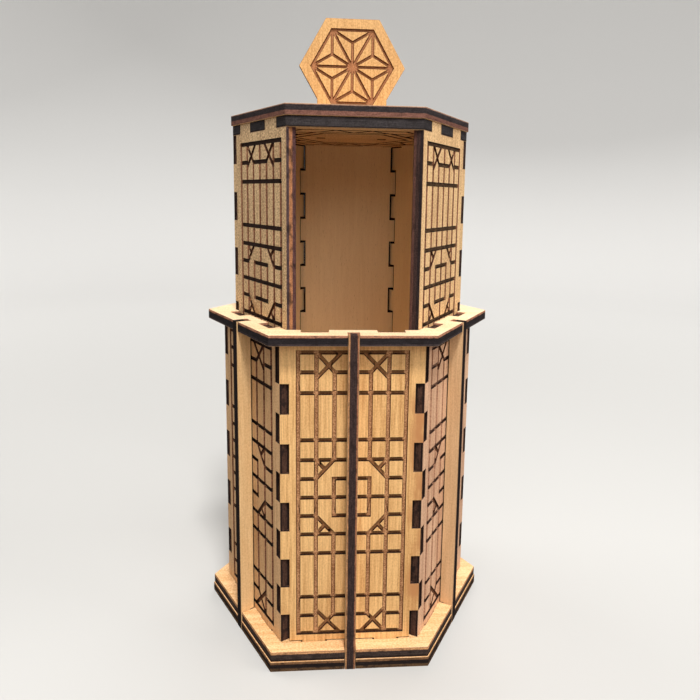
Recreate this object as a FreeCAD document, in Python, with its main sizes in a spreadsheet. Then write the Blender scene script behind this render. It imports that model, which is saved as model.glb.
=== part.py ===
import FreeCAD, Part
import math
import os

import Sketcher
from FreeCAD import Placement, Rotation, Vector

# A hexagonal dice chest cut from thin plywood. An outer case of six panels stands on a
# doubled base, carries six upright fins and ends in an open ledge. A tower of five panels,
# open at the front, slides up and down inside it under a doubled roof with a hexagonal
# medallion as its handle. The chest is drawn with the tower raised.
#
# Axes: +Z up, the open side of the tower faces -Y, the origin is the middle of the underside.

# ---------------------------------------------------------------- driving sizes (mm)

DRIVING_SIZES = [
    # name, value, meaning
    ("ply", 3.0, "thickness of every plywood piece"),
    ("kerf", 0.12, "gap left by the cut on each side of a tab in its slot"),
    ("finger_gap", 0.02, "gap between a finger's inner corner and its neighbour's notch"),
    ("case_side", 40.6, "outer side of the case's hexagon"),
    ("finger_pitch", 8.72, "height of one finger or notch of the case"),
    ("slide_gap", 0.2, "gap between the tower and the case, on each side"),
    ("floor_gap", 0.4, "gap under the tower's floor when the roof rests on the ledge"),
    ("lift", 57.8, "height of the raised roof above the ledge"),
    ("ledge_reach", 4.3, "how far the ledge stands out from the case's panels"),
    ("base_reach", 4.3, "how far the base plate stands out from the case's panels"),
    ("foot_reach", 0.25, "how far the foot plate stands out from the base plate"),
    ("fin_reach", 4.6, "how far a fin stands out from its panel"),
    ("fin_tab", 3.0, "depth of the tabs at a fin's ends"),
    ("roof_reach", 0.45, "how far the roof cap stands out from the tower's panels"),
    ("case_tab_place", 10.6, "middle of a case panel's tab, from the panel's middle"),
    ("tower_tab_place", 8.9, "middle of a tower panel's tab, from the panel's middle"),
    ("tab_width", 7.4, "width of a panel's tab"),
    ("tab_drop", 0.6, "how far the tops of the case's tabs lie below the ledge"),
    ("line_width", 1.2, "width of an engraved line of the panels"),
    ("line_depth", 0.6, "depth of every engraved line"),
    ("case_column", 5.05, "spacing of the upright lines on a case panel"),
    ("case_margin", 2.7, "space above and below the case's lattice"),
    ("tower_column", 4.55, "spacing of the upright lines on a tower panel"),
    ("tower_margin", 3.2, "space above and below the tower's lattice"),
    ("tower_shift", 1.6, "how far the lattice beside the opening lies towards the front"),
    ("medal_side", 16.35, "side of the medallion's hexagon"),
    ("medal_rise", 15.5, "middle of the medallion above the roof"),
    ("leg_place", 9.6, "middle of a leg of the medallion, from its middle"),
    ("leg_width", 2.4, "width of a leg of the medallion"),
    ("leg_length", 4.6, "how far a leg goes down into the roof"),
    ("medal_border", 2.9, "space around the medallion's ornament"),
    ("medal_line", 0.9, "width of an engraved line of the medallion"),
    ("ceiling_border", 6.0, "space around the ceiling's ornament"),
    ("ceiling_band", 6.6, "width of the ceiling's ornamental band"),
    ("ceiling_step", 3.4, "space between the ceiling's two inner borders"),
    ("ceiling_line", 1.2, "width of an engraved line of the ceiling"),
]

# Fingers and notches along a corner, counted together.
FINGER_STEPS = 10
# Heights of the lattice's rails above its middle, as shares of its half height.
RAIL_1, RAIL_2, RAIL_3, RAIL_4, RAIL_5 = 0.132, 0.265, 0.404, 0.727, 0.867
# The lattice's steep slopes meet its frame at this many columns from the middle, and end this
# many line widths short of a mirror image of the frame in the crossing rail.
STEEP_TOP, STEEP_SHORT = 0.62, 3.25
# The lattice's short braces meet its shallow slopes at this many columns from the middle.
BRACE_END = 1.5

COS_30 = math.cos(math.radians(30))
SIDE_TURN = 60
SIDE_NAMES = ["front", "front_right", "back_right", "back", "back_left", "front_left"]

doc = FreeCAD.newDocument("DiceChest")
sheet = doc.addObject("Spreadsheet::Sheet", "Sheet")
for row, (name, value, meaning) in enumerate(DRIVING_SIZES, start=1):
    sheet.set(f"A{row}", name)
    sheet.set(f"B{row}", str(value))
    sheet.set(f"C{row}", meaning)
    sheet.setAlias(f"B{row}", name)
doc.recompute()


class Size:
    """A length kept both as a number and as the sheet formula that drives it."""

    def __init__(self, value, formula):
        self.value = value
        self.formula = formula

    def __add__(self, other):
        other = as_size(other)
        return Size(self.value + other.value, f"({self.formula} + {other.formula})")

    def __sub__(self, other):
        other = as_size(other)
        return Size(self.value - other.value, f"({self.formula} - {other.formula})")

    def __mul__(self, other):
        other = as_size(other)
        return Size(self.value * other.value, f"{self.formula} * {other.formula}")

    def __truediv__(self, other):
        other = as_size(other)
        return Size(self.value / other.value, f"{self.formula} / {other.formula}")

    def __neg__(self):
        return self * -1

    __rmul__ = __mul__


def as_size(thing):
    """Return a plain number as a Size."""
    if isinstance(thing, Size):
        return thing
    return Size(float(thing), f"({float(thing)!r})")


def size(name):
    """Return the Size that a cell of the sheet holds."""
    return Size(float(sheet.get(name)), f"Sheet.{name}")


def span(across, along):
    """Return the length of the slope with these two legs."""
    return Size(math.hypot(across.value, along.value), f"hypot({across.formula}; {along.formula})")


ZERO = as_size(0)

# ---------------------------------------------------------------- sizes that follow

ply = size("ply")
kerf = size("kerf")
line_width = size("line_width")
line_depth = size("line_depth")

case_face = size("case_side") * COS_30
finger_depth = ply * COS_30
case_body = size("finger_pitch") * FINGER_STEPS + ply
tower_face = case_face - ply - size("slide_gap")
tower_side = tower_face / COS_30
tower_body = case_body - ply - size("floor_gap")

base_bottom = ply
case_bottom = ply * 2
ledge_bottom = case_bottom + case_body
ledge_top = ledge_bottom + ply
roof_bottom = ledge_top + size("lift")
roof_top = roof_bottom + ply
ceiling_bottom = roof_bottom - ply
tower_bottom = ceiling_bottom - tower_body
tower_floor_bottom = tower_bottom - ply

# ---------------------------------------------------------------- drawing helpers

cuts = []


def new_body(label, side=0):
    """Start a piece in the front position, turned to its own side of the hexagon."""
    body = doc.addObject("PartDesign::Body", label)
    body.Label = label
    body.Placement = Placement(Vector(), Rotation(Vector(0, 0, 1), SIDE_TURN * side))
    return body


def origin_feature(body, role):
    """Return one of a body's own origin planes or axes."""
    return next(item for item in body.Origin.OriginFeatures if item.Role == role)


def new_sketch(body, name, role, distance, rise=None, turn=0):
    """Add a sketch parallel to an origin plane, at a distance along its normal."""
    sketch = body.newObject("Sketcher::SketchObject", f"{body.Name}_{name}")
    sketch.AttachmentSupport = [(origin_feature(body, role), "")]
    sketch.MapMode = "FlatFace"
    sketch.AttachmentOffset = Placement(Vector(), Rotation(Vector(0, 0, 1), turn))
    sketch.setExpression("AttachmentOffset.Base.z", distance.formula)
    if rise is not None:
        sketch.setExpression("AttachmentOffset.Base.y", rise.formula)
    return sketch


def draw_loops(sketch, loops):
    """Draw closed loops of straight lines and tie every corner to the sheet."""
    lines = []
    ties = []
    formulas = []
    for corners in loops:
        first = len(lines)
        count = len(corners)
        points = [Vector(x.value, y.value, 0) for x, y in corners]
        for index, (x, y) in enumerate(corners):
            after = (index + 1) % count
            line = first + index
            lines.append(Part.LineSegment(points[index], points[after]))
            ties.append(Sketcher.Constraint("Coincident", line, 2, first + after, 1))
            for kind, place, axis in (("DistanceX", x, -2), ("DistanceY", y, -1)):
                if place is ZERO:
                    ties.append(Sketcher.Constraint("PointOnObject", line, 1, axis))
                    continue
                formulas.append((len(ties), place.formula))
                ties.append(Sketcher.Constraint(kind, line, 1, place.value))
    sketch.addGeometry(lines, False)
    sketch.addConstraint(ties)
    for index, formula in formulas:
        sketch.setExpression(f"Constraints[{index}]", formula)


def pad(body, sketch, length, backwards=False):
    """Give a sketch a thickness."""
    feature = body.newObject("PartDesign::Pad", f"{sketch.Name}_pad")
    feature.Profile = sketch
    feature.setExpression("Length", length.formula)
    feature.Reversed = backwards
    return feature


def pocket(body, sketch, depth, backwards=False):
    """Cut a sketch into the piece to a depth."""
    before = body.Tip
    feature = body.newObject("PartDesign::Pocket", f"{sketch.Name}_cut")
    feature.Profile = sketch
    feature.setExpression("Length", depth.formula)
    feature.Reversed = backwards
    cuts.append((before, feature))
    return feature


def repeat_around(body, features, axis, copies, angle=360):
    """Repeat cuts evenly around an axis."""
    pattern = body.newObject("PartDesign::PolarPattern", f"{body.Name}_around")
    pattern.Originals = features
    pattern.Axis = axis
    pattern.Angle = angle
    pattern.Occurrences = copies
    body.Tip = pattern
    return pattern


def rectangle(left, right, bottom, top):
    """Return the corners of an upright rectangle."""
    return [(left, bottom), (right, bottom), (right, top), (left, top)]


def bar(start, end, width):
    """Return the corners of a straight line of some width between two points."""
    across = end[0] - start[0]
    along = end[1] - start[1]
    half = width / 2 / span(across, along)
    step_x = along * half
    step_y = across * half
    return [
        (start[0] + step_x, start[1] - step_y),
        (end[0] + step_x, end[1] - step_y),
        (end[0] - step_x, end[1] + step_y),
        (start[0] - step_x, start[1] + step_y),
    ]


def hexagon(face):
    """Return the corners of a hexagon with flat sides at this distance in front and behind."""
    side = face / COS_30
    half = side / 2
    return [(-half, -face), (half, -face), (side, ZERO), (half, face), (-half, face), (-side, ZERO)]


# ---------------------------------------------------------------- panels

def finger_edge(corner, bottom, pitch, top, finger_first):
    """Return the upright edge of a panel at +X, from bottom to top, as fingers and notches."""
    depth = finger_depth + size("finger_gap")
    edge = []
    for step in range(FINGER_STEPS):
        out = (step % 2 == 0) == finger_first
        place = corner if out else corner - depth
        low = bottom + pitch * step
        high = top if step == FINGER_STEPS - 1 else bottom + pitch * (step + 1)
        edge += [(place, low), (place, high)]
    return edge


def straight_edge(corner, bottom, top):
    """Return a plain upright edge at +X, from bottom to top."""
    return [(corner, bottom), (corner, top)]


def tabbed_edge(level, reach, place):
    """Return a level edge from -X to +X with two tabs that end at another level."""
    half = size("tab_width") / 2
    edge = []
    for middle in (-place, place):
        edge += [(middle - half, level), (middle - half, reach)]
        edge += [(middle + half, reach), (middle + half, level)]
    return edge


def mirrored(edge):
    """Return an edge mirrored to the other side, in the opposite order."""
    return [(-x, y) for x, y in reversed(edge)]


def panel_outline(left_edge, right_edge, bottom_edge, top_edge):
    """Join four edges into one closed outline."""
    return bottom_edge + right_edge + list(reversed(top_edge)) + mirrored(left_edge)


def lattice_lines(middle, half_height, column):
    """Return the lattice's lines in groups, in each of which no two lines meet."""
    half_line = line_width / 2
    rails = [half_height * share for share in (RAIL_1, RAIL_2, RAIL_3, RAIL_4, RAIL_5, 1)]
    square, octagon, inner, outer, cross, frame = rails

    def at(columns, height):
        return (column * columns, middle + height)

    def upright(columns, low, high):
        x, y_low = at(columns, low)
        y_high = middle + high
        return rectangle(x - half_line, x + half_line, y_low - half_line, y_high + half_line)

    def rail(height, left, right):
        x_left, y = at(left, height)
        x_right = column * right
        return rectangle(x_left - half_line, x_right + half_line, y - half_line, y + half_line)

    uprights = [upright(columns, -frame, frame) for columns in (-3, -2, 0, 2, 3)]
    for columns in (-1, 1):
        uprights += [upright(columns, -cross, -octagon), upright(columns, -square, square)]
        uprights += [upright(columns, octagon, cross)]

    rails_through = [rail(ZERO, -3, 3)]
    rails_short = []
    slopes = []
    braces = []
    for way in (-1, 1):
        rails_through += [rail(height * way, -3, 3) for height in (octagon, inner, outer, frame)]
        for height in (square, cross):
            rails_short += [rail(height * way, left, right) for left, right in ((-3, -2), (-1, 1), (2, 3))]
        for side in (-1, 1):
            slopes.append(bar(at(side, octagon * way), at(2 * side, square * way), line_width))
            low_end = at(2 * side, (cross * 2 - frame + line_width * STEEP_SHORT) * way)
            slopes.append(bar(low_end, at(STEEP_TOP * side, frame * way), line_width))
            meeting = at(BRACE_END * side, (octagon + square) / 2 * way)
            braces.append(bar(at(2 * side, octagon * way), meeting, line_width))
            braces.append(bar(at(2 * side, frame * way), at(side, cross * way), line_width))
    return uprights, rails_through, rails_short, slopes, braces


def build_lattice(label, face, bottom, height, margin, column):
    """Build the lines of a lattice as one solid that lies just under a panel's face."""
    body = new_body(label)
    groups = lattice_lines(bottom + height / 2, height / 2 - margin, column)
    for index, group in enumerate(groups):
        sketch = new_sketch(body, f"lines_{index}", "XZ_Plane", face)
        draw_loops(sketch, group)
        pad(body, sketch, line_depth, backwards=True)
    return body


def build_blank(label, side, outline, face):
    """Build a flat panel behind its outer face."""
    body = new_body(label, side)
    sketch = new_sketch(body, "outline", "XZ_Plane", face)
    draw_loops(sketch, [outline])
    pad(body, sketch, ply, backwards=True)
    return body


def engrave(label, side, blank, lattice):
    """Cut the lattice into a panel in the front position and turn it to its side."""
    panel = doc.addObject("Part::Cut", label)
    panel.Label = label
    panel.Base = blank
    panel.Tool = lattice
    panel.Placement = Placement(Vector(), Rotation(Vector(0, 0, 1), SIDE_TURN * side))
    cuts.append((blank, panel))
    return panel


def moved(label, lattice, distance):
    """Return a lattice moved sideways."""
    copy = doc.addObject("Part::Compound", label)
    copy.Links = [lattice]
    copy.setExpression("Placement.Base.x", distance.formula)
    return copy


def build_case_blank(label, finger_first):
    """Build a panel of the case in the front position. Panels of two kinds take turns."""
    corner = size("case_side") / 2
    place = size("case_tab_place")
    edge = finger_edge(corner, case_bottom, size("finger_pitch"), ledge_bottom, finger_first)
    outline = panel_outline(
        edge,
        edge,
        tabbed_edge(case_bottom, base_bottom, place),
        tabbed_edge(ledge_bottom, ledge_top - size("tab_drop"), place),
    )
    return build_blank(label, 0, outline, case_face)


def build_case_panels():
    """Build the six engraved panels of the case."""
    column = size("case_column")
    lattice = build_lattice("case_lattice", case_face, case_bottom, case_body, size("case_margin"), column)
    blanks = [build_case_blank("case_blank_even", False), build_case_blank("case_blank_odd", True)]
    return [engrave(f"case_{name}", side, blanks[side % 2], lattice) for side, name in enumerate(SIDE_NAMES)]


def build_tower_blank(label, side, turned):
    """Build a panel of the tower. The two beside the opening end in a plain edge."""
    corner = tower_side / 2
    place = size("tower_tab_place")
    pitch = tower_body / FINGER_STEPS
    fingers = finger_edge(corner, tower_bottom, pitch, ceiling_bottom, side % 2 == 1)
    plain = straight_edge(corner, tower_bottom, ceiling_bottom)
    front_is_left = SIDE_NAMES[side] == "front_right"
    front_is_right = SIDE_NAMES[side] == "front_left"
    outline = panel_outline(
        plain if front_is_left else fingers,
        plain if front_is_right else fingers,
        tabbed_edge(tower_bottom, tower_floor_bottom, place),
        tabbed_edge(ceiling_bottom, roof_bottom, place),
    )
    return build_blank(label, side if turned else 0, outline, tower_face)


def build_tower_panels():
    """Build the tower's panels: two engraved ones beside the opening and three plain ones."""
    margin = size("tower_margin")
    lattice = build_lattice("tower_lattice", tower_face, tower_bottom, tower_body, margin, size("tower_column"))
    panels = []
    for side, way in ((1, -1), (5, 1)):
        name = f"tower_{SIDE_NAMES[side]}"
        blank = build_tower_blank(f"{name}_blank", side, turned=False)
        lines = moved(f"{name}_lattice", lattice, size("tower_shift") * way)
        panels.append(engrave(name, side, blank, lines))
    for side in (2, 3, 4):
        panels.append(build_tower_blank(f"tower_{SIDE_NAMES[side]}", side, turned=True))
    return panels


# ---------------------------------------------------------------- plates

def build_plate(label, bottom, loops):
    """Build a level plate, one ply thick."""
    body = new_body(label)
    sketch = new_sketch(body, "outline", "XY_Plane", bottom)
    draw_loops(sketch, loops)
    pad(body, sketch, ply)
    return body


def fin_slot(edge):
    """Return the slot that a plate has for the front fin, open to the plate's edge."""
    half = ply / 2 + kerf
    return rectangle(-half, half, -edge - ply, -case_face - kerf)


def tab_slots(place, outside, inside):
    """Return the two slots or notches of the front side for a panel's tabs."""
    half = size("tab_width") / 2 + kerf
    return [rectangle(x - half, x + half, -outside, -inside) for x in (-place, place)]


def cut_plate(body, top, name, loops, copies=6, angle=360, turn=0):
    """Cut openings through a plate on several of its sides."""
    sketch = new_sketch(body, name, "XY_Plane", top, turn=turn)
    draw_loops(sketch, loops)
    feature = pocket(body, sketch, ply)
    return repeat_around(body, [feature], (origin_feature(body, "Z_Axis"), [""]), copies, angle)


def build_foot_plate():
    """Build the lowest plate, slightly larger than the base plate on it."""
    edge = case_face + size("base_reach") + size("foot_reach")
    body = build_plate("foot_plate", ZERO, [hexagon(edge)])
    cut_plate(body, base_bottom, "fin_slots", [fin_slot(edge)])
    return body


def build_base_plate():
    """Build the plate that the case's panels and fins stand in."""
    edge = case_face + size("base_reach")
    body = build_plate("base_plate", base_bottom, [hexagon(edge)])
    slots = tab_slots(size("case_tab_place"), case_face + kerf, case_face - ply - kerf)
    cut_plate(body, case_bottom, "slots", [fin_slot(edge)] + slots)
    return body


def build_ledge_ring():
    """Build the open ledge on top of the case."""
    edge = case_face + size("ledge_reach")
    inside = case_face - ply
    body = build_plate("ledge_ring", ledge_bottom, [hexagon(edge), hexagon(inside)])
    notches = tab_slots(size("case_tab_place"), case_face + kerf, inside - ply / 2)
    cut_plate(body, ledge_top, "slots", [fin_slot(edge)] + notches)
    return body


def build_notched_plate(label, bottom):
    """Build a plate of the tower, notched on the five sides that have a panel."""
    body = build_plate(label, bottom, [hexagon(tower_face)])
    notches = tab_slots(size("tower_tab_place"), tower_face + ply, tower_face - ply - kerf)
    cut_plate(body, bottom + ply, "notches", notches, copies=5, angle=SIDE_TURN * 4, turn=SIDE_TURN)
    return body


def cut_leg_slots(body, top):
    """Cut the two slots for the medallion's legs through a plate of the roof."""
    half_width = size("leg_width") / 2 + kerf
    half_depth = ply / 2 + kerf
    place = size("leg_place")
    sketch = new_sketch(body, "leg_slots", "XY_Plane", top)
    middles = (-place, place)
    draw_loops(sketch, [rectangle(x - half_width, x + half_width, -half_depth, half_depth) for x in middles])
    pocket(body, sketch, ply)


def build_roof_cap():
    """Build the top plate of the roof, which comes to rest on the ledge."""
    body = build_plate("roof_cap", roof_bottom, [hexagon(tower_face + size("roof_reach"))])
    cut_leg_slots(body, roof_top)
    return body


def build_ceiling_plate():
    """Build the lower plate of the roof, with an ornamental band on its underside."""
    body = build_notched_plate("ceiling_plate", ceiling_bottom)
    cut_leg_slots(body, roof_bottom)
    outer = tower_face - ply - size("ceiling_border") / 2
    inner = outer - size("ceiling_band")
    width = size("ceiling_line")
    borders = new_sketch(body, "borders", "XY_Plane", ceiling_bottom)
    faces = (outer, inner, inner - size("ceiling_step"))
    draw_loops(borders, [hexagon(edge) for face in faces for edge in (face, face - width)])
    pocket(body, borders, line_depth, backwards=True)

    low = -inner + width / 2
    high = -outer + width / 2
    third = outer / COS_30 / 6
    slopes = [
        bar((-third * 2, low), (-third, high), width),
        bar((ZERO, low), (third, high), width),
    ]
    returns = [
        bar((-third, high), (ZERO, low), width),
        bar((third, high), (third * 2, low), width),
    ]
    features = []
    for name, loops in (("slopes", slopes), ("returns", returns)):
        sketch = new_sketch(body, name, "XY_Plane", ceiling_bottom)
        draw_loops(sketch, loops)
        features.append(pocket(body, sketch, line_depth, backwards=True))
    repeat_around(body, features, (origin_feature(body, "Z_Axis"), [""]), 6)
    return body


# ---------------------------------------------------------------- fins and medallion

def build_fin(side):
    """Build an upright fin, held by a tab in the ledge and one in the base."""
    body = new_body(f"fin_{SIDE_NAMES[side]}", side)
    outside = -case_face - size("fin_reach")
    tab = outside + size("fin_tab")
    outline = [
        (outside, ZERO),
        (tab, ZERO),
        (tab, case_bottom),
        (-case_face, case_bottom),
        (-case_face, ledge_bottom),
        (tab, ledge_bottom),
        (tab, ledge_top),
        (outside, ledge_top),
    ]
    sketch = new_sketch(body, "outline", "YZ_Plane", -ply / 2)
    draw_loops(sketch, [outline])
    pad(body, sketch, ply)
    return body


def build_medallion():
    """Build the hexagonal handle with its two legs and a six-pointed leaf ornament."""
    side = size("medal_side")
    middle = roof_top + size("medal_rise")
    foot = -size("medal_rise")
    leg_outside = size("leg_place") + size("leg_width") / 2
    leg_inside = size("leg_place") - size("leg_width") / 2
    shoulder = (leg_outside - side) * (2 * COS_30)
    leg_end = foot - size("leg_length")
    right_half = [
        (leg_inside, foot),
        (leg_inside, leg_end),
        (leg_outside, leg_end),
        (leg_outside, shoulder),
        (side, ZERO),
        (side / 2, side * COS_30),
    ]
    left_half = [(-x, y) for x, y in reversed(right_half)]
    body = new_body("medallion")
    face = ply / 2
    sketch = new_sketch(body, "outline", "XZ_Plane", face, rise=middle)
    draw_loops(sketch, [right_half + left_half])
    pad(body, sketch, ply, backwards=True)

    width = size("medal_line")
    border = side * COS_30 - size("medal_border")
    frame = new_sketch(body, "frame", "XZ_Plane", face, rise=middle)
    draw_loops(frame, [hexagon(border), hexagon(border - width)])
    pocket(body, frame, line_depth)

    tip = (border - width / 2) / COS_30
    corner_right = (tip / 2, tip * COS_30)
    corner_left = (-tip / 2, tip * COS_30)
    heart = (ZERO, tip * (2 * COS_30 / 3))
    centre = (ZERO, ZERO)
    features = []
    lines = (("spoke", centre, corner_right), ("vein", centre, heart))
    lines += (("leaf_right", heart, corner_right), ("leaf_left", heart, corner_left))
    for name, start, end in lines:
        ornament = new_sketch(body, name, "XZ_Plane", face, rise=middle)
        draw_loops(ornament, [bar(start, end, width)])
        features.append(pocket(body, ornament, line_depth))
    repeat_around(body, features, (frame, ["N_Axis"]), 6)
    return body


# ---------------------------------------------------------------- assembly

pieces = [build_foot_plate(), build_base_plate()]
pieces += build_case_panels()
pieces += [build_fin(side) for side in range(6)]
pieces.append(build_ledge_ring())
pieces += build_tower_panels()
pieces.append(build_notched_plate("tower_floor", tower_floor_bottom))
pieces.append(build_ceiling_plate())
pieces.append(build_roof_cap())
pieces.append(build_medallion())

doc.recompute()

for item in doc.Objects:
    if "Invalid" in item.State or "Error" in item.State:
        raise RuntimeError(f"{item.Name} could not be computed: {item.State}")
for before, after in cuts:
    if after.Shape.Volume >= before.Shape.Volume - 1e-6:
        raise RuntimeError(f"{after.Name} removes nothing")

os.makedirs("parts", exist_ok=True)
for piece in pieces:
    shape = piece.Shape
    if shape.isNull() or not shape.isValid() or len(shape.Solids) != 1:
        raise RuntimeError(f"{piece.Label} is not one valid solid")
for piece in pieces:
    piece.Shape.exportStep(os.path.join("parts", f"{piece.Label}.step"))
print(f"{len(pieces)} pieces written")
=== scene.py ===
import logging
import math
from collections.abc import Callable, Container, Iterator
from contextlib import contextmanager
from dataclasses import dataclass, replace
from enum import Enum, IntEnum

import bmesh
import bpy
from mathutils import Color, Matrix, Vector


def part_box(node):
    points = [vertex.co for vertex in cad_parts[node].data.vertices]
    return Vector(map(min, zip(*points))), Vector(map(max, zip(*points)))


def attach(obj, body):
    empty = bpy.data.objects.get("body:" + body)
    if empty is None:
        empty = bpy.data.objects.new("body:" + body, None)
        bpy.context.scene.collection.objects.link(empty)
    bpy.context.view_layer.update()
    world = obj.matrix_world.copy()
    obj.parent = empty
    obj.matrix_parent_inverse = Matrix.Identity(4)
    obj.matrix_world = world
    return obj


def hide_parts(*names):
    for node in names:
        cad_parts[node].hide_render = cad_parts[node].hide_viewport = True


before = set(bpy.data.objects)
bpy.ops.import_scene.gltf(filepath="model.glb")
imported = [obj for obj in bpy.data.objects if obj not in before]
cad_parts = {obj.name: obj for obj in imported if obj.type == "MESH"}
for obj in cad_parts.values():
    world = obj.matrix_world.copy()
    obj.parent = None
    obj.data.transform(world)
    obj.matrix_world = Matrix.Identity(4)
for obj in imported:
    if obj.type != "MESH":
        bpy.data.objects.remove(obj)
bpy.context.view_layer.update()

log = logging.getLogger("dice_chest")

MM = 0.001
PLACE = "ply_place"
SIDE_NAMES = ("front", "front_right", "back_right", "back", "back_left", "front_left")
SIDE_TURN = math.radians(60)
REAR_SIDES = (2, 3, 4)

# The sheet's thickness and the top of the plates at the foot.
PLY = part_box("foot_plate")[1][2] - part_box("foot_plate")[0][2]
FOOT_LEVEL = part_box("base_plate")[1][2]

# The front panel's outer face, half its width and its top.
PANEL_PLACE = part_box("case_front")[0][1]
PANEL_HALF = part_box("case_front")[1][0]
PANEL_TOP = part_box("case_front")[1][2]

# Points that are nearer than WELD are one, and a point within SLACK of a plane lies in it.
WELD = 0.002 * MM
SLACK = 0.05 * MM

# A normal faces a way where their cosine is above SQUARE. Faces that meet below FLAT_ANGLE are one.
SQUARE = 0.9
FLAT_ANGLE = math.radians(1)

# How far the grain of each board is moved on from that of the board before it, in metres.
ACROSS_STEP = 0.137
ALONG_STEP = 0.211

Screen = tuple[int, int, int]
Colour = tuple[float, float, float, float]
Object = bpy.types.Object
Material = bpy.types.Material
Face = bmesh.types.BMFace
Node = bpy.types.Node
Outputs = bpy.types.NodeOutputs
Socket = bpy.types.NodeSocket


def paint(screen: Screen) -> Colour:
    """Turn a colour as seen on a screen into the linear colour of a shader.

    Args:
        screen: Red, green and blue level, 0 to 255.

    Returns:
        The linear colour with full alpha.
    """
    levels = Color([level / 255 for level in screen])
    return (*levels.from_srgb_to_scene_linear(), 1.0)


# ---------------------------------------------------------------- finishes

class Kind(IntEnum):
    """The kinds of surface on a laser-cut board, in the order of its material slots."""

    FACE = 0
    RIM = 1
    EDGE = 2
    BACK = 3
    UPRIGHT = 4
    UPRIGHT_WALL = 5
    RAIL = 6
    RAIL_WALL = 7
    SLOPE = 8
    SLOPE_WALL = 9
    # Seam surfaces are painted near black: char, and painted shade where boards meet.
    SEAM = 10


WALL_OF = {Kind.UPRIGHT: Kind.UPRIGHT_WALL, Kind.RAIL: Kind.RAIL_WALL, Kind.SLOPE: Kind.SLOPE_WALL}


class Seam(Enum):
    """The edges of a board where a dark seam is painted between it and its neighbours: char, and painted
    shade where they meet.
    """

    NONE = "none"
    FOOT = "the outer face's lower edge"
    INNER = "the edges of the inner face"
    ROOT = "the edges next to the panel that the board stands on"


class Lay(Enum):
    """How a board stands in the chest."""

    PANEL = "upright, with its outer face outwards"
    FIN = "upright, standing out from a panel"
    LEVEL = "flat, with its outer face up"
    CEILING = "flat, with its outer face down"


@dataclass(frozen=True)
class VeneerFinish:
    """The sanded face veneer of a board.

    Args:
        name: The material's name.
        light: Colour of the early wood.
        dark: Colour of the late wood.
        pore: Colour of the pores.
        streak: Width of a grain streak in metres.
        contrast: How strongly the grain shows, about 1.
        speckle: How strongly the fine mottle shows, 0 to 1.
        burn_reach: How far burn marks reach in from the right side, in metres, or 0 for none.
        roughness: Roughness of the surface.
    """

    name: str
    light: Screen
    dark: Screen
    pore: Screen = (150, 104, 62)
    streak: float = 0.75 * MM
    contrast: float = 1.0
    speckle: float = 0.35
    burn_reach: float = 0.0
    roughness: float = 0.62


@dataclass(frozen=True)
class EdgeFinish:
    """The charred edge of a board, where the layers of the plywood show.

    Args:
        name: The material's name.
        outer: Colour of the layer at the outer face.
        core: Colour of the middle layer.
        inner: Colour of the layer at the inner face.
        outer_depth: Depth at which the middle layer starts, in metres.
        inner_depth: Depth at which the inner layer starts, in metres.
        soot: How strongly soot darkens the edge in patches, 0 to 1.
        roughness: Roughness of the surface.
    """

    name: str
    outer: Screen
    core: Screen
    inner: Screen
    outer_depth: float = 0.3 * MM
    inner_depth: float = 2.0 * MM
    soot: float = 0.5
    roughness: float = 0.8


@dataclass(frozen=True)
class LineFinish:
    """The burnt floor and walls of an engraved line, where the lines across the grain also carry painted
    shade.

    Args:
        name: The material's name.
        floor: Colour of the floor.
        speck: Colour of the paler specks that the laser's rows leave on the floor.
        wall: Colour of the walls and of the strip along them: burnt, with painted shade that the walls cast.
        wall_speck: Colour of the paler specks on the walls.
        roughness: Roughness of the surface.
    """

    name: str
    floor: Screen
    speck: Screen
    wall: Screen
    wall_speck: Screen
    roughness: float = 0.8


@dataclass(frozen=True)
class Engraving:
    """The finishes of a board's engraved lines.

    Args:
        upright: Finish of the lines along the grain.
        rail: Finish of the lines across the grain, darker with painted shade that their upper walls cast.
        slope: Finish of the slanting lines.
        through: The lines that run through a crossing.
    """

    upright: LineFinish
    rail: LineFinish
    slope: LineFinish
    through: Kind = Kind.RAIL

    @property
    def plain(self) -> bool:
        """Whether all lines have one finish."""
        return self.upright == self.rail == self.slope


PANEL_VENEER = VeneerFinish("panel_veneer", (242, 194, 130), (188, 136, 80), contrast=1.3, speckle=0.2)
FRONT_VENEER = replace(PANEL_VENEER, name="front_veneer", burn_reach=5.3 * MM)
# Copies of the panel veneer for the case's left and right panels, set lighter or darker: partly another tone
# of board, partly painted light and shade of their side.
LEFT_VENEER = VeneerFinish("left_panel_veneer", (231, 187, 136), (183, 137, 91), contrast=1.3)
RIGHT_VENEER = VeneerFinish("right_panel_veneer", (234, 190, 152), (184, 136, 104), contrast=1.4)
TOWER_VENEER = VeneerFinish("tower_veneer", (238, 198, 144), (184, 140, 92), contrast=1.3, speckle=0.7)
# The left tower panel's veneer is a darker copy of the tower's: painted shade of that side.
LEFT_TOWER_VENEER = VeneerFinish(
    "left_tower_veneer", (230, 194, 144), (166, 128, 86), contrast=1.3, speckle=1.0
)
PLATE_VENEER = VeneerFinish(
    "plate_veneer", (248, 204, 152), (208, 154, 96), streak=1.1 * MM, contrast=1.3, speckle=0.5
)
# The ledge's veneer is paler than the other plates': painted light, for the top that the lamps from above
# strike most.
LEDGE_VENEER = VeneerFinish("ledge_veneer", (252, 222, 182), (224, 180, 130), streak=1.1 * MM, speckle=0.6)
FIN_VENEER = VeneerFinish("fin_veneer", (238, 200, 147), (208, 164, 111))
# The right fin's veneer is a darker copy of the fins': painted shade of that side.
RIGHT_FIN_VENEER = VeneerFinish("right_fin_veneer", (226, 186, 140), (192, 150, 106))
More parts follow.
